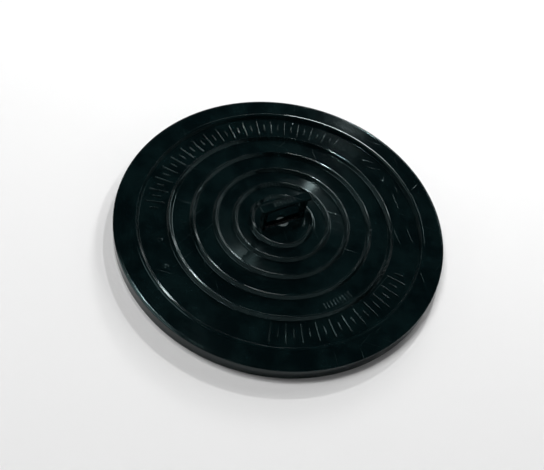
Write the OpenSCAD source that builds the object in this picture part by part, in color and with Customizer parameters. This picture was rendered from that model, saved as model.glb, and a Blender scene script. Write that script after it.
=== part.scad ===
// Round moulded cover for an inspection chamber, with a pull handle that rises out of its hub.
// Millimetres, +Z up. The origin is the centre of the skirt's bottom edge, and +X runs along the handle.

/* [Cover] */
// Outer diameter at the skirt's bottom edge
cover_d = 300; // [280:1:400]
// Height from the skirt's bottom edge to the flat rim
cover_h = 12.5; // [11:0.5:20]
// Thickness of the moulded plate and rim
wall = 3; // [2.4:0.1:3.6]
// Thickness of the turned-down skirt
skirt_t = 3; // [2:0.1:5]
// How much narrower the skirt is at its top than at its bottom, on the radius
skirt_draft = 0.4; // [0:0.1:1]
// Rounding of the edge between the rim and the skirt
edge_round = 0.8; // [0.3:0.1:2]
// Rounding of the skirt's bottom outer edge
foot_round = 0.4; // [0.2:0.1:1]

/* [Sunk plate] */
// Width of the flat rim
rim_w = 20; // [16:0.5:28]
// Depth of the plate below the rim
plate_drop = 3; // [2.2:0.1:4]
// Width of the shoulder between the rim and the plate
shoulder_run = 2.8; // [2.4:0.1:5]
// Rounding at the top of the shoulder
shoulder_round = 0.5; // [0.3:0.1:0.8]

/* [Raised rings] */
// Crest radius of the ring round the hub
hub_ring_r = 27.7; // [27:0.1:30]
// Crest radius of the first ring outside the hub
ring_1_r = 42.7; // [38:0.1:48]
// Crest radius of the second ring outside the hub
ring_2_r = 60.2; // [55:0.1:66]
// Crest radius of the third ring outside the hub
ring_3_r = 80.5; // [74:0.1:86]
// Crest radius of the fourth ring outside the hub
ring_4_r = 100.9; // [94:0.1:106]
// Width of a ring at its foot
ring_foot_w = 5.6; // [5:0.1:7]
// Rounding of a ring's crest
crest_round = 0.5; // [0.4:0.1:0.9]
// Rounding where a ring or the shoulder meets the plate
root_round = 0.6; // [0.4:0.1:1]

/* [Hub] */
// Diameter of the fingertip dish in the middle of the hub
dish_d = 13; // [10:0.5:20]
// Depth of the fingertip dish
dish_depth = 1.8; // [1:0.1:2]

/* [Underside] */
// Number of radial stiffening ribs
spoke_count = 12; // [6:1:16]
// Depth of the stiffening ribs below the plate
stiffener_depth = 4.5; // [3:0.1:4.8]
// Depth of the ring that locates the cover in the chamber's mouth
locating_depth = 5; // [3:0.1:6]
// Thickness of a stiffening rib at its free edge
stiffener_edge_t = 1.6; // [1:0.1:2]
// Thickness of a stiffening rib at its root, inside the plate
stiffener_root_t = 2.4; // [2:0.1:3]
// Distance from the slot to the ribs that run along it, at their roots
rail_gap = 0.4; // [0.2:0.1:1]
// Middle radius of the stiffening ring round the hub
inner_stiffener_r = 35.2; // [34:0.1:37]
// Middle radius of the stiffening ring between the third and fourth raised rings
outer_stiffener_r = 90.7; // [88:0.1:92]

/* [Pull handle] */
// Length of the handle's strip
strip_l = 48.5; // [44:0.1:48.6]
// Width of the handle's strip
strip_w = 8.5; // [7:0.1:9]
// Thickness of the handle's strip
strip_t = 3; // [2:0.1:4]
// Rounding of the strip's corners, seen from above
strip_corner = 1.6; // [1:0.1:2.5]
// Rounding of the strip's upper edges
strip_edge = 0.5; // [0.2:0.1:0.8]
// Distance over the outer faces of the two legs
leg_span = 43; // [38:0.1:43.4]
// Width of a leg
leg_w = 5.8; // [4:0.1:6.6]
// Thickness of a leg
leg_t = 3; // [2:0.1:4]
// Fillet between a leg and the strip
leg_fillet = 2; // [1:0.1:3]
// How far the handle rises, from flush to full height
travel = 24.3; // [15:0.1:30]
// Gap between a leg and the walls of the slot
slot_clearance = 0.2; // [0.15:0.05:0.4]
// Gap left under the strip when the handle is down
seat_clearance = 0.2; // [0.1:0.05:0.4]

/* [Snap feet] */
// How far a foot reaches out from its leg
foot_reach = 2.2; // [1:0.1:2.4]
// Height of a foot
foot_h = 2.6; // [2:0.1:3]
// Gap between a foot and the plate above it when the handle is up
foot_gap = 0.3; // [0.2:0.05:0.5]

/* [Hidden] */
$fn = 96;

// Steps in a small rounding
ARC_STEPS = 5;
// Overlap that lets two shapes of one moulding join
JOIN = 0.5;
// Overshoot of a cut past the faces that it goes through
CUT = 1;

cover_r = cover_d / 2;
plate_top = cover_h - plate_drop;
plate_under = plate_top - wall;
rim_under = cover_h - wall;
rim_inner_r = cover_r - rim_w;
plate_r = rim_inner_r - shoulder_run;
skirt_top_r = cover_r - skirt_draft;
skirt_inner_r = cover_r - skirt_t;
ring_radii = [hub_ring_r, ring_1_r, ring_2_r, ring_3_r, ring_4_r];
// Sideways shift that keeps the wall even where the plate steps up to the rim
step_shift = wall * tan(atan2(plate_drop, shoulder_run) / 2);
spigot_top_r = rim_inner_r + step_shift;
spigot_r = plate_r + step_shift;
// The groove that cores out a raised ring from below
groove_half_w = ring_foot_w / 2 - wall * tan(atan2(plate_drop, ring_foot_w / 2) / 2);
groove_depth = groove_half_w * plate_drop / (ring_foot_w / 2);
slot_l = leg_span + 2 * slot_clearance;
slot_w = leg_w + 2 * slot_clearance;
rail_y = slot_w / 2 + stiffener_root_t / 2 + rail_gap;
// Heights of the raised handle
foot_top = plate_under - foot_gap;
foot_bottom = foot_top - foot_h;
strip_under = plate_top + seat_clearance + travel;

// Points on an arc round a centre, from one angle to another
function arc(centre, radius, from, to, steps = ARC_STEPS) = [
    for (i = [0:steps])
        let (angle = from + (to - from) * i / steps)
        centre + radius * [cos(angle), sin(angle)]
];

// A smooth slope from [0, rise] down to [run, 0]: rounded over, straight, then rounded into the foot
function slope_points(run, rise, top_round, foot_round) =
    let (
        both = top_round + foot_round,
        lift = both - rise,
        lean = asin(both / norm([run, lift])) - atan2(lift, run)
    )
    concat(
        arc([0, rise - top_round], top_round, 90, 90 - lean),
        arc([run, foot_round], foot_round, 270 - lean, 270)
    );

function mirrored(points) = [for (i = [len(points) - 1:-1:0]) [-points[i].x, points[i].y]];

function moved(points, offset) = [for (p = points) p + offset];

module shell_profile() {
    shoulder = slope_points(shoulder_run, plate_drop, shoulder_round, root_round);
    polygon(concat(
        [[0, plate_under], [0, plate_top]],
        moved(mirrored(shoulder), [rim_inner_r, plate_top]),
        arc([skirt_top_r - edge_round, cover_h - edge_round], edge_round, 90, 0),
        arc([cover_r - foot_round, foot_round], foot_round, 0, -90),
        [
            [skirt_inner_r, 0],
            [skirt_inner_r, rim_under],
            [spigot_top_r, rim_under],
            [spigot_r, plate_under],
            [spigot_r, plate_under - locating_depth],
            [spigot_r - stiffener_edge_t, plate_under - locating_depth],
            [spigot_r - stiffener_root_t, plate_under]
        ]
    ));
}

module raised_ring(radius) {
    half = slope_points(ring_foot_w / 2, plate_drop, crest_round, root_round);
    rotate_extrude()
        translate([radius, plate_top])
            polygon(concat(
                [[-ring_foot_w / 2, -JOIN]],
                mirrored(half),
                half,
                [[ring_foot_w / 2, -JOIN]]
            ));
}

module ring_groove(radius) {
    rotate_extrude()
        translate([radius, plate_under])
            polygon([
                [-groove_half_w, 0],
                [-groove_half_w, -CUT],
                [groove_half_w, -CUT],
                [groove_half_w, 0],
                [0, groove_depth]
            ]);
}

// Section of a stiffening rib: a wedge that is thin at its free edge and ends inside the plate
module stiffener_section() {
    polygon([
        [-stiffener_edge_t / 2, -stiffener_depth],
        [stiffener_edge_t / 2, -stiffener_depth],
        [stiffener_root_t / 2, wall - JOIN],
        [-stiffener_root_t / 2, wall - JOIN]
    ]);
}

module stiffening_ring(radius) {
    rotate_extrude()
        translate([radius, plate_under])
            stiffener_section();
}

module stiffening_bar(from_x, to_x) {
    translate([from_x, 0, plate_under])
        rotate([90, 0, 90])
            linear_extrude(height = to_x - from_x)
                stiffener_section();
}

module stiffeners() {
    stiffening_ring(inner_stiffener_r);
    stiffening_ring(outer_stiffener_r);
    for (i = [0:spoke_count - 1])
        rotate((i + 0.5) * 360 / spoke_count)
            stiffening_bar(inner_stiffener_r, spigot_r - stiffener_edge_t / 2);
    for (side = [-1, 1])
        translate([0, side * rail_y, 0])
            stiffening_bar(-inner_stiffener_r, inner_stiffener_r);
}

module handle_slot() {
    translate([-slot_l / 2, -slot_w / 2, -CUT])
        cube([slot_l, slot_w, cover_h + 2 * CUT]);
}

module fingertip_dish() {
    dish_r = dish_d / 2;
    ball_r = (dish_r * dish_r + dish_depth * dish_depth) / (2 * dish_depth);
    translate([0, 0, plate_top + ball_r - dish_depth])
        sphere(r = ball_r);
}

module cover() {
    color([0.06, 0.08, 0.08])
        difference() {
            union() {
                difference() {
                    union() {
                        rotate_extrude()
                            shell_profile();
                        for (radius = ring_radii)
                            raised_ring(radius);
                    }
                    for (radius = ring_radii)
                        ring_groove(radius);
                }
                stiffeners();
            }
            handle_slot();
            fingertip_dish();
        }
}

module rounded_plan(length, width, corner) {
    square([length - 2 * corner, width], center = true);
    square([length, width - 2 * corner], center = true);
    for (x = [-1, 1], y = [-1, 1])
        translate([x * (length / 2 - corner), y * (width / 2 - corner)])
            circle(r = corner);
}

// Section of the strip across one direction: square below, rounded at both upper edges
module rounded_top_section(width) {
    square_h = strip_t - strip_edge;
    translate([-width / 2, 0])
        square([width, square_h]);
    translate([-width / 2 + strip_edge, 0])
        square([width - 2 * strip_edge, strip_t]);
    for (side = [-1, 1])
        translate([side * (width / 2 - strip_edge), square_h])
            circle(r = strip_edge);
}

module strip() {
    translate([0, 0, strip_under])
        intersection() {
            linear_extrude(height = strip_t)
                rounded_plan(strip_l, strip_w, strip_corner);
            rotate([90, 0, 90])
                linear_extrude(height = strip_l + 2 * CUT, center = true)
                    rounded_top_section(strip_w);
            rotate([90, 0, 0])
                linear_extrude(height = strip_w + 2 * CUT, center = true)
                    rounded_top_section(strip_l);
        }
}

// One leg in side view, on the +X side: filleted under the strip, with a foot that catches outwards
module leg_profile() {
    outer_x = leg_span / 2;
    inner_x = outer_x - leg_t;
    polygon(concat(
        [
            [inner_x, foot_bottom],
            [outer_x, foot_bottom],
            [outer_x + foot_reach, foot_top - foot_h / 3],
            [outer_x + foot_reach, foot_top],
            [outer_x, foot_top],
            [outer_x, strip_under + JOIN],
            [inner_x - leg_fillet, strip_under + JOIN]
        ],
        arc([inner_x - leg_fillet, strip_under - leg_fillet], leg_fillet, 90, 0)
    ));
}

module leg() {
    rotate([90, 0, 0])
        linear_extrude(height = leg_w, center = true)
            leg_profile();
}

module pull_handle() {
    color([0.05, 0.07, 0.07])
        union() {
            strip();
            for (side = [0, 1])
                mirror([side, 0, 0])
                    leg();
        }
}

cover();
pull_handle();
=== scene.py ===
import math

import bmesh
import bpy
from bpy.props import FloatProperty, FloatVectorProperty, PointerProperty
from mathutils import Matrix, Vector


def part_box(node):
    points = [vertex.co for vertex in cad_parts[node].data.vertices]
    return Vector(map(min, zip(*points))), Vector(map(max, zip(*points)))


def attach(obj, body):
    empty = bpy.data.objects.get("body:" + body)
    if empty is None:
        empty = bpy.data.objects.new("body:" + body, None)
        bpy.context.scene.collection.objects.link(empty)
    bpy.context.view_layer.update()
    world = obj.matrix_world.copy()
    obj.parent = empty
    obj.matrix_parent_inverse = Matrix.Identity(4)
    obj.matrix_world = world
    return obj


bl_info = {
    "name": "Chamber cover looks",
    "version": (1, 0, 0),
    "blender": (4, 5, 0),
    "location": "3D View > Sidebar > Cover",
    "description": "Finishes, relief and studio stage for a round moulded chamber cover",
    "category": "Object",
}

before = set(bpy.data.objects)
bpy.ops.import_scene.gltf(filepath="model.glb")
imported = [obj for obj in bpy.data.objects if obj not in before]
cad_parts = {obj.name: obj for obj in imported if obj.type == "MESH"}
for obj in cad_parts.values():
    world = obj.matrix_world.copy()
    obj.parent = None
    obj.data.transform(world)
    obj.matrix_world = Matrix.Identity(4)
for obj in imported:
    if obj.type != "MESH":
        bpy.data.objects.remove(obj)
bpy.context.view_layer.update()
MM = 0.001

# The photograph's frame, in pixels, and the camera's sensor width
PHOTO_W, PHOTO_H = 544, 470
SENSOR_MM = 36.0

RIM_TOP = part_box("cover")[1].z
STRIP_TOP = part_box("pull_handle")[1].z
# The sunk plate lies this far below the rim
PLATE_DROP = 3.0 * MM
PLATE_TOP = RIM_TOP - PLATE_DROP


class CoverFinish(bpy.types.PropertyGroup):
    """Colours and surface of the moulded plastic."""
    deep: FloatVectorProperty(
        name="Deep colour", description="Colour of the plastic where it is darkest",
        subtype="COLOR", size=3, min=0.0, max=1.0, default=(0.0007, 0.0028, 0.0033))
    pale: FloatVectorProperty(
        name="Pale colour", description="Colour of the plastic where it has faded a little",
        subtype="COLOR", size=3, min=0.0, max=1.0, default=(0.0020, 0.0062, 0.0067))
    scuff: FloatVectorProperty(
        name="Scuff colour", description="Colour left by fine scratches",
        subtype="COLOR", size=3, min=0.0, max=1.0, default=(0.030, 0.042, 0.042))
    # Painted highlight: this paler colour on the dish's floor stands in for the highlight there
    dish_highlight: FloatVectorProperty(
        name="Rubbed colour", description="Colour of the dish that fingertips have rubbed",
        subtype="COLOR", size=3, min=0.0, max=1.0, default=(0.075, 0.092, 0.092))
    sheen_tint: FloatVectorProperty(
        name="Highlight tint", description="Slight colour of the plastic's highlights",
        subtype="COLOR", size=3, min=0.0, max=1.0, default=(0.62, 0.96, 0.98))
    roughness: FloatProperty(
        name="Roughness", description="Mean roughness of the moulded surface",
        default=0.08, min=0.05, max=1.0)
    gloss: FloatProperty(
        name="Gloss",
        description="Strength of the reflection at right angles; 0.5 is common plastic",
        default=0.19, min=0.0, max=1.0)
    turned_pitch: FloatProperty(
        name="Turned pitch", description="Spacing of the turning marks left by the mould",
        default=0.35 * MM, min=0.1 * MM, max=2 * MM, unit="LENGTH")
    stretch: FloatProperty(
        name="Stretch",
        description="How far the turning marks stretch a highlight along the radius",
        default=0.3, min=0.0, max=1.0)
    turned_stretch: FloatProperty(
        name="Turned stretch", description="The same stretch where the turning marks are deepest",
        default=0.97, min=0.0, max=1.0)
    turned_rough: FloatProperty(
        name="Turned roughness",
        description="Roughness added where the turning marks are deepest",
        default=0.075, min=0.0, max=0.5)


class ReliefSizes(bpy.types.PropertyGroup):
    """Sizes of the plain raised bars on the outer band, and of the pin marks."""
    bar_w: FloatProperty(
        name="Bar width", description="Width of a tread bar at its foot",
        default=1.5 * MM, unit="LENGTH")
    bar_h: FloatProperty(
        name="Bar height", description="Height of a tread bar above the plate",
        default=0.7 * MM, unit="LENGTH")
    inner_r: FloatProperty(
        name="Inner radius", description="Radius at which the tread bars begin",
        default=106 * MM, unit="LENGTH")
    outer_r: FloatProperty(
        name="Outer radius", description="Radius at which the tread bars end",
        default=124 * MM, unit="LENGTH")
    pitch: FloatProperty(
        name="Pitch", description="Distance between tread bars along the middle of the band",
        default=6.6 * MM, unit="LENGTH")
    mark_d: FloatProperty(
        name="Pin mark diameter",
        description="Diameter of the round marks left by the mould's pins",
        default=4.2 * MM, unit="LENGTH")


class StageSettings(bpy.types.PropertyGroup):
    """Camera, floor and the light of the room."""
    elevation: FloatProperty(
        name="Elevation", description="Height of the camera above the floor, as an angle",
        default=math.radians(51.92), subtype="ANGLE")
    azimuth: FloatProperty(
        name="Azimuth", description="Turn of the camera from the front of the handle",
        default=math.radians(-38.0), subtype="ANGLE")
    roll: FloatProperty(
        name="Roll", description="Tilt of the camera about the line to the cover",
        default=math.radians(13.81), subtype="ANGLE")
    distance: FloatProperty(
        name="Distance", description="Distance from the camera to the middle of the cover's top",
        default=0.6459, unit="LENGTH")
    focal_px: FloatProperty(
        name="Focal length", description="Focal length in pixels of the photograph",
        default=715.1)
    aim_x: FloatProperty(
        name="Aim across", description="Pixel column at which the middle of the cover shows",
        default=282.18)
    aim_y: FloatProperty(
        name="Aim down", description="Pixel row at which the middle of the cover shows",
        default=218.62)
    floor_colour: FloatVectorProperty(
        name="Floor colour", description="Colour of the floor and the backdrop",
        subtype="COLOR", size=3, min=0.0, max=1.0, default=(0.86, 0.86, 0.86))
    floor_radius: FloatProperty(
        name="Floor radius", description="Radius of the flat part of the floor",
        default=1.3, unit="LENGTH")
    wall_height: FloatProperty(
        name="Backdrop height", description="Height of the curved backdrop round the floor",
        default=0.7, unit="LENGTH")
    world_level: FloatProperty(
        name="Room level", description="Brightness of the dim room above the backdrop",
        default=0.015, min=0.0)


# Layout of the nodes in the shader editor
NODE_STEP_X, NODE_STEP_Y, NODES_ACROSS = 220, 260, 12
# Sockets of a Mix node that mixes colours
MIX_FACTOR, MIX_A, MIX_B, MIX_RESULT = 0, 6, 7, 2


class Nodes:
    """Adds and links shader nodes in one tree."""

    def __init__(self, tree):
        self.tree = tree
        self.made = 0

    def add(self, kind, inputs=None, **settings):
        node = self.tree.nodes.new("ShaderNode" + kind)
        row, column = divmod(self.made, NODES_ACROSS)
        node.location = (NODE_STEP_X * column, -NODE_STEP_Y * row)
        self.made += 1
        for name, value in settings.items():
            setattr(node, name, value)
        for name, value in (inputs or {}).items():
            self.put(node.inputs[name], value)
        return node

    def put(self, socket, value):
        if isinstance(value, bpy.types.NodeSocket):
            self.tree.links.new(value, socket)
        else:
            socket.default_value = value

    def math(self, operation, a, b=0.0, clamp=False):
        node = self.add("Math", {0: a, 1: b}, operation=operation, use_clamp=clamp)
        return node.outputs[0]

    def times(self, a, b):
        return self.math("MULTIPLY", a, b)

    def plus(self, a, b, clamp=False):
        return self.math("ADD", a, b, clamp)

    def measure(self, operation, *vectors):
        """A vector operation whose result is one number."""
        node = self.add("VectorMath", dict(enumerate(vectors)), operation=operation)
        return node.outputs["Value"]

    def span(self, value, low, high, to_low=0.0, to_high=1.0):
        """Maps value from low..high to to_low..to_high, smoothly and clamped."""
        node = self.add(
            "MapRange",
            {"Value": value, "From Min": low, "From Max": high,
             "To Min": to_low, "To Max": to_high},
            interpolation_type="SMOOTHSTEP",
        )
        return node.outputs["Result"]

    def below(self, value, limits, most=1.0):
        """Falls smoothly from most to 0, from the first limit to the second."""
        return self.span(value, *limits, most, 0.0)

    def noise(self, vector, per_metre, detail=2.0, roughness=0.5):
        node = self.add(
            "TexNoise",
            {"Vector": vector, "Scale": per_metre, "Detail": detail, "Roughness": roughness},
            noise_dimensions="3D",
        )
        return node.outputs["Fac"]

    def line_noise(self, value, detail):
        node = self.add(
            "TexNoise", {"W": value, "Scale": 1.0, "Detail": detail}, noise_dimensions="1D")
        return node.outputs["Fac"]

    def mix(self, factor, a, b):
        node = self.add("Mix", data_type="RGBA")
        self.put(node.inputs[MIX_FACTOR], factor)
        self.put(node.inputs[MIX_A], a)
        self.put(node.inputs[MIX_B], b)
        return node.outputs[MIX_RESULT]


def rgba(colour):
    return (*colour, 1.0)


def new_material(name):
    """A material without nodes yet, and what adds them."""
    material = bpy.data.materials.new(name)
    material.use_nodes = True
    material.node_tree.nodes.clear()
    return material, Nodes(material.node_tree)


# Turn in degrees, and seed, of each direction that the hair scratches run in
SCRATCH_RUNS = ((24, 3.1), (-41, 8.7), (78, 14.3))
# Size of the scratches' noise along, across and through a run, in metres
SCRATCH_SIZE = (0.07, 0.0009, 0.07)
# Noise levels between which a scratch begins, and a patch that holds scratches
SCRATCH_EDGE = (0.735, 0.80)
PATCH_EDGE = (0.48, 0.62)
PATCHES_PER_METRE = 26.0


def scratches(nodes, place):
    """Sparse straight hair scratches in three directions, from 0 to 1."""
    total = None
    for turn_degrees, seed in SCRATCH_RUNS:
        turned = nodes.add(
            "Mapping",
            {"Vector": place, "Location": (seed, seed, 0.0),
             "Rotation": (0.0, 0.0, math.radians(turn_degrees)), "Scale": SCRATCH_SIZE},
            vector_type="TEXTURE",
        ).outputs["Vector"]
        lines = nodes.span(nodes.noise(turned, 1.0, detail=1.0), *SCRATCH_EDGE)
        total = lines if total is None else nodes.math("MAXIMUM", total, lines)
    patches = nodes.span(nodes.noise(place, PATCHES_PER_METRE, detail=1.0), *PATCH_EDGE)
    return nodes.times(total, patches)


# The fingertip dish is painted paler about this point, as a painted highlight shifted to its near
# side, out to the first radius, and not at all from the second
DISH_HIGHLIGHT_POINT = (0.0, -0.9 * MM, 0.0)
DISH_HIGHLIGHT_RADII = (5.0 * MM, 6.0 * MM)
DISH_HIGHLIGHT_MOST = 0.8

# Upright part of the surface's normal, between a wall and a face that looks up
UPWARD = (0.4, 0.7)
# The slot's cut walls are matt, within this radius
SLOT_END = (23 * MM, 24 * MM)

# Radii over which the turning marks grow deep, and over which they fade again
TURNED_RISE = (26 * MM, 42 * MM)
TURNED_FADE = (58 * MM, 70 * MM)

# Radii between which the shoulder is matt, each with the width of its change
MATT_FROM = (126.0 * MM, 127.0 * MM)
MATT_TO = (129.2 * MM, 129.8 * MM)
MATT_MOST = 0.8
# The matt band is wider where the edge is rubbed, on the side that this direction points to
RUBBED_TO = (131.8 * MM, 132.6 * MM)
RUBBED_SIDE = (-0.94, -0.34, 0.0)
RUBBED_RISE = (30 * MM, 95 * MM)

# Mottles, swells and grains in a metre, and the noise levels that bound a mottle's colour
MOTTLES_PER_METRE = 38.0
SWELLS_PER_METRE = 17.0
GRAINS_PER_METRE = 2600.0
MOTTLE_EDGE = (0.38, 0.66)
# Noise levels between which the roughness changes
ROUGH_EDGE = (0.3, 0.7)
# Roughness taken off and added by the mottling, and by the turning marks
MOTTLE_ROUGH = (0.01, 0.012)
MARK_ROUGH = (-0.01, 0.01)
# What a scratch adds: share of its own colour, and roughness
SCUFF_COLOUR = 0.35
SCUFF_ROUGH = 0.12
# Heights in the surface
SWELL_H = 0.14 * MM
GRAIN_H = 0.006 * MM
SCUFF_DEPTH = 0.02 * MM
MARK_H = 0.012 * MM
# Turns the stretched highlight by a quarter, from along the tangent to across it
ACROSS_TANGENT = 0.25


def dish_highlight_share(nodes, flat, facing_up):
    """How far the dish's floor is painted paler as a painted highlight. The slot's walls in it
    aren't.
    """
    dish_highlight = nodes.below(nodes.measure("DISTANCE", flat, DISH_HIGHLIGHT_POINT), DISH_HIGHLIGHT_RADII, DISH_HIGHLIGHT_MOST)
    return nodes.times(dish_highlight, nodes.span(facing_up, *UPWARD))


def matt_share(nodes, place, radius, facing_up):
    """How matt the worn shoulder and the slot's walls are."""
    aside = nodes.measure("DOT_PRODUCT", place, RUBBED_SIDE)
    worn = nodes.times(nodes.span(aside, *RUBBED_RISE), nodes.below(radius, RUBBED_TO))
    shoulder = nodes.math("MAXIMUM", worn, nodes.below(radius, MATT_TO))
    shoulder = nodes.times(shoulder, nodes.span(radius, *MATT_FROM, 0.0, MATT_MOST))
    walls = nodes.times(nodes.below(facing_up, UPWARD), nodes.below(radius, SLOT_END))
    return nodes.math("MAXIMUM", shoulder, walls)


def moulded_plastic(name, finish, turned):
    """Near-black moulded plastic: faint mottling, scuffs, and turning marks if turned."""
    material, nodes = new_material(name)
    source = nodes.add("TexCoord")
    place = source.outputs["Object"]
    mottle = nodes.noise(place, MOTTLES_PER_METRE, detail=4.0, roughness=0.6)
    scuffs = scratches(nodes, place)

    colour = nodes.mix(nodes.span(mottle, *MOTTLE_EDGE), rgba(finish.deep), rgba(finish.pale))
    colour = nodes.mix(nodes.times(scuffs, SCUFF_COLOUR), colour, rgba(finish.scuff))

    less, more = MOTTLE_ROUGH
    rough = nodes.span(mottle, *ROUGH_EDGE, finish.roughness - less, finish.roughness + more)
    rough = nodes.plus(rough, nodes.times(scuffs, SCUFF_ROUGH), clamp=True)

    height = nodes.times(nodes.noise(place, SWELLS_PER_METRE, detail=1.0), SWELL_H)
    height = nodes.plus(height, nodes.times(nodes.noise(place, GRAINS_PER_METRE), GRAIN_H))
    height = nodes.math("SUBTRACT", height, nodes.times(scuffs, SCUFF_DEPTH))

    if turned:
        flat = nodes.add(
            "VectorMath", {0: place, 1: (1.0, 1.0, 0.0)}, operation="MULTIPLY").outputs[0]
        radius = nodes.measure("LENGTH", flat)
        facing_up = nodes.add("SeparateXYZ", {0: source.outputs["Normal"]}).outputs["Z"]
        # Painted highlight: the dish's floor is painted paler where its highlight falls
        colour = nodes.mix(
            dish_highlight_share(nodes, flat, facing_up), colour, rgba(finish.dish_highlight))
        marks = nodes.line_noise(nodes.math("DIVIDE", radius, finish.turned_pitch), detail=3.0)
        deep_marks = nodes.times(
            nodes.span(radius, *TURNED_RISE), nodes.below(radius, TURNED_FADE))
        height = nodes.plus(height, nodes.times(marks, MARK_H))
        rough = nodes.plus(rough, nodes.span(marks, *ROUGH_EDGE, *MARK_ROUGH), clamp=True)
        rough = nodes.plus(rough, nodes.times(deep_marks, finish.turned_rough))

    bump = nodes.add("Bump", {"Strength": 1.0, "Distance": 1.0, "Height": height})
    shader = nodes.add(
        "BsdfPrincipled",
        {"Base Color": colour, "Roughness": rough, "Normal": bump.outputs["Normal"], "IOR": 1.5},
    )
    shader.inputs["Specular Tint"].default_value = rgba(finish.sheen_tint)
    if turned:
        stretch = nodes.times(deep_marks, finish.turned_stretch - finish.stretch)
        nodes.put(shader.inputs["Anisotropic"], nodes.plus(stretch, finish.stretch))
        shader.inputs["Anisotropic Rotation"].default_value = ACROSS_TANGENT
        tangent = nodes.add("Tangent", direction_type="RADIAL", axis="Z")
        nodes.put(shader.inputs["Tangent"], tangent.outputs["Tangent"])
        shine = nodes.math("SUBTRACT", 1.0, matt_share(nodes, place, radius, facing_up))
        nodes.put(shader.inputs["Specular IOR Level"], nodes.times(shine, finish.gloss))
    else:
        shader.inputs["Specular IOR Level"].default_value = finish.gloss
    nodes.add("OutputMaterial", {"Surface": shader.outputs[0]})
    return material


def give(piece, material):
    piece.data.materials.clear()
    piece.data.materials.append(material)


def new_object(name, data):
    made = bpy.data.objects.new(name, data)
    bpy.context.scene.collection.objects.link(made)
    return made


def smooth_object(name, work):
    """Turns a bmesh into a smooth-shaded object in the scene."""
    mesh = bpy.data.meshes.new(name)
    work.to_mesh(mesh)
    work.free()
    mesh.polygons.foreach_set("use_smooth", [True] * len(mesh.polygons))
    return new_object(name, mesh)


# Edges of the relief that bend more than this stay sharp in the shading
SHARP_ANGLE = math.radians(50)


def piece_from(name, mesh_builder, node, body):
    """Makes a named piece in a CAD node's plastic, and lets it ride on a body."""
    work = bmesh.new()
    mesh_builder(work)
    bmesh.ops.recalc_face_normals(work, faces=work.faces)
    piece = smooth_object(name, work)
    piece.data.set_sharp_from_angle(angle=SHARP_ANGLE)
    give(piece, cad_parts[node].data.materials[0])
    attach(piece, body)
    return piece


def cover_piece(name, mesh_builder):
    return piece_from(name, mesh_builder, "cover", "cover")


def circle(work, radius, height, steps, place=Matrix()):
    """A ring of vertices round the Z axis of that place."""
    turns = (2 * math.pi * i / steps for i in range(steps))
    return [
        work.verts.new(place @ Vector((radius * math.cos(a), radius * math.sin(a), height)))
        for a in turns
    ]


def skin(work, rings, over=False):
    """Faces between each ring of vertices and the next, turned over if over."""
    for low, high in zip(rings, rings[1:]):
        for i in range(len(low)):
            j = (i + 1) % len(low)
            others = (high[i], high[j], low[j]) if over else (low[j], high[j], high[i])
            work.faces.new((low[i], *others))


def fan(work, ring, middle):
    """Faces between a ring of vertices and one in its middle."""
    for i in range(len(ring)):
        work.faces.new((ring[i], ring[(i + 1) % len(ring)], middle))


# Steps up a raised bar's rounded back, and the share of its width that is left on top
BACK_STEPS = 3
TOP_SHARE = 0.2


def rounded_bar(work, place, length, width, height, steps=6):
    """A raised bar with a rounded back and round ends, lying along its own X axis."""
    end_x = (length - width) / 2
    rings = []
    for level in range(BACK_STEPS + 1):
        climb = math.pi / 2 * level / BACK_STEPS
        half_w = width / 2 * (math.cos(climb) * (1 - TOP_SHARE) + TOP_SHARE)
        z = height * math.sin(climb)
        ring = []
        for side in (1, -1):
            for i in range(steps + 1):
                angle = math.pi * i / steps - side * math.pi / 2
                x = side * end_x + half_w * math.cos(angle)
                ring.append(work.verts.new(place @ Vector((x, half_w * math.sin(angle), z))))
        rings.append(ring)
    skin(work, rings)
    work.faces.new(rings[-1])
    work.faces.new(rings[0][::-1])


# Depth to which a raised bar's foot sinks into the surface that carries it
FOOT_SINK = 0.05 * MM


def radial_place(angle, radius, height):
    """A place whose X axis lies along the radius at that angle."""
    sunk = Matrix.Translation((radius, 0.0, height - FOOT_SINK))
    return Matrix.Rotation(angle, 4, "Z") @ sunk


# Arcs of the band that hold the tread bars, in degrees from +X
TREAD_ARCS = {"upper_tread": (35.0, 152.0), "lower_tread": (238.0, 308.0)}
# Length of every second tread bar, as a share of the others
SHORT_BAR = 0.45


def tread_arc(work, sizes, from_degrees, to_degrees):
    """Raised radial bars along an arc of the band, long and short in turn."""
    middle_r = (sizes.inner_r + sizes.outer_r) / 2
    full = sizes.outer_r - sizes.inner_r
    sweep = math.radians(to_degrees - from_degrees)
    count = int(sweep * middle_r / sizes.pitch)
    for i in range(count + 1):
        angle = math.radians(from_degrees) + sweep * i / count
        length = full if i % 2 == 0 else full * SHORT_BAR
        place = radial_place(angle, middle_r, PLATE_TOP)
        rounded_bar(work, place, length, sizes.bar_w, sizes.bar_h)


# Short rows of small bars on the inner band and on the hub, each about a middle angle in degrees
SMALL_ROWS = {
    "inner_band_bars": dict(
        degrees=274, radius=93.5 * MM, count=9, pitch=3.2 * MM,
        length=6.5 * MM, width=0.8 * MM, height=0.35 * MM),
    "hub_bars": dict(
        degrees=-27, radius=20.5 * MM, count=4, pitch=2.6 * MM,
        length=3.2 * MM, width=0.7 * MM, height=0.3 * MM),
}
# Steps round the end of a small bar or ridge
SMALL_STEPS = 4


def small_bars(work, degrees, radius, count, pitch, length, width, height):
    """Small radial bars in a row along a circle."""
    for i in range(count):
        angle = math.radians(degrees) + (i - (count - 1) / 2) * pitch / radius
        place = radial_place(angle, radius, PLATE_TOP)
        rounded_bar(work, place, length, width, height, steps=SMALL_STEPS)


# The low ridges across the strip, and how far along it the middle one lies
RIDGE_COUNT = 7
RIDGE_PITCH = 3.2 * MM
RIDGE_MIDDLE_X = -1.5 * MM
RIDGE_L, RIDGE_W, RIDGE_H = 4.6 * MM, 0.9 * MM, 0.35 * MM


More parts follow.
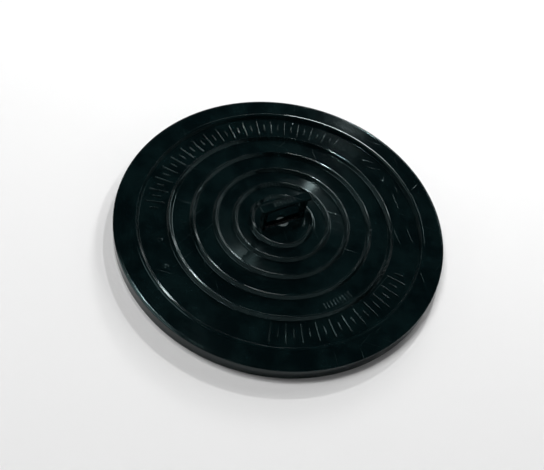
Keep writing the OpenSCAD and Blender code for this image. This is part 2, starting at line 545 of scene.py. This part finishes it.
def strip_ridges(work):
    """Low ridges across the strip, under a fingertip."""
    across = Matrix.Rotation(math.pi / 2, 4, "Z")
    for i in range(RIDGE_COUNT):
        x = (i - (RIDGE_COUNT - 1) / 2) * RIDGE_PITCH + RIDGE_MIDDLE_X
        place = Matrix.Translation((x, 0.0, STRIP_TOP - FOOT_SINK)) @ across
        rounded_bar(work, place, RIDGE_L, RIDGE_W, RIDGE_H, steps=SMALL_STEPS)


# Angle from +X in degrees, and radius, of each pin mark
PIN_MARKS = ((4.7, 116 * MM), (170.0, 111 * MM), (184.0, 115 * MM))
# Section of a pin mark, from its foot to its middle: radius as a share of the diameter, height
PIN_SECTION = (
    (0.5, 0.0), (0.46, 0.16 * MM), (0.38, 0.2 * MM), (0.30, 0.12 * MM), (0.0, 0.09 * MM))


def pin_mark(work, degrees, radius, diameter, steps=32):
    """A round mark left by a mould's pin: a low lip round a shallow middle."""
    place = radial_place(math.radians(degrees), radius, PLATE_TOP)
    rings = [
        circle(work, share * diameter, height, steps, place)
        for share, height in PIN_SECTION[:-1]
    ]
    middle = work.verts.new(place @ Vector((0.0, 0.0, PIN_SECTION[-1][1])))
    skin(work, rings)
    fan(work, rings[-1], middle)
    work.faces.new(rings[0][::-1])


# Middle radius, width and height of each fine bead on the rim
RIM_BEADS = (
    (131.3 * MM, 2.5 * MM, 0.23 * MM),
    (147.6 * MM, 1.6 * MM, 0.20 * MM),
)


def ring_bead(work, radius, width, height, steps=240, levels=8):
    """A low bead round the rim, with a back and feet that run out smoothly."""
    rings = []
    for level in range(levels + 1):
        across = 2 * level / levels - 1
        z = RIM_TOP - FOOT_SINK + height * (0.5 + 0.5 * math.cos(math.pi * across))
        rings.append(circle(work, radius + across * width / 2, z, steps))
    skin(work, rings + rings[:1], over=True)


class OBJECT_OT_finish_cover(bpy.types.Operator):
    """Gives the cover its turned, near-black plastic"""
    bl_idname = "object.finish_cover"
    bl_label = "Finish cover"

    def execute(self, context):
        finish = context.scene.cover_finish
        give(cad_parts["cover"], moulded_plastic("cover_plastic", finish, turned=True))
        return {"FINISHED"}


class OBJECT_OT_finish_pull_handle(bpy.types.Operator):
    """Gives the pull handle its near-black plastic"""
    bl_idname = "object.finish_pull_handle"
    bl_label = "Finish pull handle"

    def execute(self, context):
        finish = context.scene.cover_finish
        plastic = moulded_plastic("handle_plastic", finish, turned=False)
        give(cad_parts["pull_handle"], plastic)
        return {"FINISHED"}


class OBJECT_OT_add_tread_bars(bpy.types.Operator):
    """Adds the plain raised bars on the outer band, the inner band and the hub"""
    bl_idname = "object.add_tread_bars"
    bl_label = "Add tread bars"

    def execute(self, context):
        sizes = context.scene.relief_sizes
        for name, arc in TREAD_ARCS.items():
            cover_piece(name, lambda work: tread_arc(work, sizes, *arc))
        for name, row in SMALL_ROWS.items():
            cover_piece(name, lambda work: small_bars(work, **row))
        return {"FINISHED"}


class OBJECT_OT_add_strip_ridges(bpy.types.Operator):
    """Adds the low ridges across the handle's strip"""
    bl_idname = "object.add_strip_ridges"
    bl_label = "Add strip ridges"

    def execute(self, context):
        piece_from("strip_ridges", strip_ridges, "pull_handle", "handle")
        return {"FINISHED"}


class OBJECT_OT_add_pin_marks(bpy.types.Operator):
    """Adds the round marks that the mould's pins left on the outer band"""
    bl_idname = "object.add_pin_marks"
    bl_label = "Add pin marks"

    def execute(self, context):
        diameter = context.scene.relief_sizes.mark_d

        def marks(work):
            for degrees, radius in PIN_MARKS:
                pin_mark(work, degrees, radius, diameter)

        cover_piece("pin_marks", marks)
        return {"FINISHED"}


class OBJECT_OT_add_rim_beads(bpy.types.Operator):
    """Adds the fine beads along the inner and the outer edge of the rim"""
    bl_idname = "object.add_rim_beads"
    bl_label = "Add rim beads"

    def execute(self, context):
        def beads(work):
            for bead in RIM_BEADS:
                ring_bead(work, *bead)

        cover_piece("rim_beads", beads)
        return {"FINISHED"}


# Each lamp's azimuth from +X and elevation in degrees, distance from the cover, width and height
# in metres, power, and turn about its own axis in degrees
LAMPS = {
    "key_lamp": dict(
        azimuth=45.6, elevation=35.2, distance=2.2, width=0.05, height=0.05, watts=14.5),
    "crown_lamp": dict(
        azimuth=76, elevation=72, distance=2.2, width=0.04, height=0.04, watts=7.0),
    "upper_strip_light": dict(
        azimuth=27, elevation=30.5, distance=1.6, width=0.75, height=0.12, watts=8.5, turn=-44),
    "lower_strip_light": dict(
        azimuth=46.3, elevation=18.5, distance=1.5, width=0.5, height=0.12, watts=7.5, turn=-16),
    "left_softbox": dict(
        azimuth=122, elevation=64, distance=2.4, width=0.8, height=0.8, watts=24.0),
}


def compass(azimuth_degrees, elevation_degrees, distance):
    """A point at that angle from +X, angle above the floor and distance from the origin."""
    azimuth, elevation = math.radians(azimuth_degrees), math.radians(elevation_degrees)
    flat = distance * math.cos(elevation)
    return Vector((
        flat * math.cos(azimuth), flat * math.sin(azimuth), distance * math.sin(elevation)))


def area_lamp(name, azimuth, elevation, distance, width, height, watts, turn=0):
    """A soft rectangular lamp that faces the middle of the cover, turned about its own axis."""
    data = bpy.data.lights.new(name, "AREA")
    data.shape = "RECTANGLE"
    data.size = width
    data.size_y = height
    data.energy = watts
    lamp = new_object(name, data)
    lamp.location = compass(azimuth, elevation, distance)
    target = Vector((0.0, 0.0, RIM_TOP))
    facing = (target - lamp.location).to_track_quat("-Z", "Y").to_matrix()
    lamp.rotation_euler = (facing @ Matrix.Rotation(math.radians(turn), 3, "Z")).to_euler()
    return lamp


# The floor paper's mottles in a metre, and how dark they are
PAPER_MOTTLES_PER_METRE = 9.0
PAPER_SHADE = 0.985


def pale_finish(name, colour):
    """Matt pale floor paper with the slightest mottling."""
    material, nodes = new_material(name)
    place = nodes.add("TexCoord").outputs["Object"]
    mottle = nodes.noise(place, PAPER_MOTTLES_PER_METRE)
    shaded = tuple(c * PAPER_SHADE for c in colour)
    paper = nodes.mix(mottle, rgba(shaded), rgba(colour))
    shader = nodes.add("BsdfPrincipled", {"Base Color": paper, "Roughness": 0.9})
    shader.inputs["Specular IOR Level"].default_value = 0.1
    nodes.add("OutputMaterial", {"Surface": shader.outputs[0]})
    return material


# Radius of the curve between floor and backdrop, and the steps in the floor's section
CURVE_R = 0.3
FLAT_STEPS, CURVE_STEPS = 6, 12


def backdrop(stage, steps=128):
    """A round floor that curves up into a low wall on every side."""
    flat_r = stage.floor_radius
    profile = [(flat_r * i / FLAT_STEPS, 0.0) for i in range(1, FLAT_STEPS + 1)]
    for i in range(1, CURVE_STEPS + 1):
        angle = math.pi / 2 * i / CURVE_STEPS
        profile.append((flat_r + CURVE_R * math.sin(angle), CURVE_R * (1 - math.cos(angle))))
    profile.append((flat_r + CURVE_R, stage.wall_height))
    work = bmesh.new()
    rings = [circle(work, radius, height, steps) for radius, height in profile]
    fan(work, rings[0], work.verts.new((0.0, 0.0, 0.0)))
    skin(work, rings, over=True)
    floor = smooth_object("studio_floor", work)
    give(floor, pale_finish("pale_paper", stage.floor_colour))
    return floor


def photo_camera(stage):
    """The camera that saw the cover in the photograph."""
    e, roll = stage.elevation, stage.roll
    back = Vector((0.0, -math.cos(e), math.sin(e)))
    level = Vector((1.0, 0.0, 0.0))
    rise = Vector((0.0, math.sin(e), math.cos(e)))
    across = math.cos(roll) * level + math.sin(roll) * rise
    upward = math.cos(roll) * rise - math.sin(roll) * level
    to_view = Matrix((across, upward, back))
    ray = Vector((
        (stage.aim_x - PHOTO_W / 2) / stage.focal_px,
        -(stage.aim_y - PHOTO_H / 2) / stage.focal_px,
        -1.0,
    ))
    swing = Vector((0.0, 0.0, -1.0)).rotation_difference(ray).to_matrix()
    turn = Matrix.Rotation(stage.azimuth, 3, "Z")
    to_camera = swing @ to_view @ turn.inverted()
    data = bpy.data.cameras.new("photo_camera")
    data.sensor_width = SENSOR_MM
    data.lens = stage.focal_px / PHOTO_W * SENSOR_MM
    data.clip_start = 10 * MM
    camera = new_object("photo_camera", data)
    place = turn @ (back * stage.distance) + Vector((0.0, 0.0, RIM_TOP))
    camera.matrix_world = Matrix.Translation(place) @ to_camera.inverted().to_4x4()
    bpy.context.scene.camera = camera
    return camera


def dim_room(level):
    """A plain white world at that low level."""
    room = bpy.data.worlds.new("dim_room")
    room.use_nodes = True
    background = room.node_tree.nodes["Background"]
    background.inputs["Color"].default_value = (1.0, 1.0, 1.0, 1.0)
    background.inputs["Strength"].default_value = level
    return room


class SCENE_OT_set_stage(bpy.types.Operator):
    """Sets the floor, the soft lamps, the dim room and the camera"""
    bl_idname = "scene.set_stage"
    bl_label = "Set stage"

    def execute(self, context):
        stage = context.scene.stage_settings
        backdrop(stage)
        for name, lamp in LAMPS.items():
            area_lamp(name, **lamp)
        context.scene.world = dim_room(stage.world_level)
        photo_camera(stage)
        context.scene.view_settings.view_transform = "Standard"
        return {"FINISHED"}


class VIEW3D_PT_cover_looks(bpy.types.Panel):
    """Lists what builds the cover's looks"""
    bl_label = "Cover looks"
    bl_space_type = "VIEW_3D"
    bl_region_type = "UI"
    bl_category = "Cover"

    def draw(self, context):
        for operator in OPERATORS:
            self.layout.operator(operator.bl_idname)
        scene = context.scene
        for group in (scene.cover_finish, scene.relief_sizes, scene.stage_settings):
            box = self.layout.box()
            for name in group.__annotations__:
                box.prop(group, name)


OPERATORS = (
    OBJECT_OT_finish_cover,
    OBJECT_OT_finish_pull_handle,
    OBJECT_OT_add_tread_bars,
    OBJECT_OT_add_strip_ridges,
    OBJECT_OT_add_pin_marks,
    OBJECT_OT_add_rim_beads,
    SCENE_OT_set_stage,
)
CLASSES = (CoverFinish, ReliefSizes, StageSettings, *OPERATORS, VIEW3D_PT_cover_looks)


def register():
    for cls in CLASSES:
        bpy.utils.register_class(cls)
    bpy.types.Scene.cover_finish = PointerProperty(type=CoverFinish)
    bpy.types.Scene.relief_sizes = PointerProperty(type=ReliefSizes)
    bpy.types.Scene.stage_settings = PointerProperty(type=StageSettings)


def unregister():
    del bpy.types.Scene.stage_settings
    del bpy.types.Scene.relief_sizes
    del bpy.types.Scene.cover_finish
    for cls in reversed(CLASSES):
        bpy.utils.unregister_class(cls)


def main():
    register()
    bpy.ops.object.finish_cover()
    bpy.ops.object.finish_pull_handle()
    bpy.ops.object.add_tread_bars()
    bpy.ops.object.add_strip_ridges()
    bpy.ops.object.add_pin_marks()
    bpy.ops.object.add_rim_beads()
    bpy.ops.scene.set_stage()


if __name__ == "__main__":
    main()
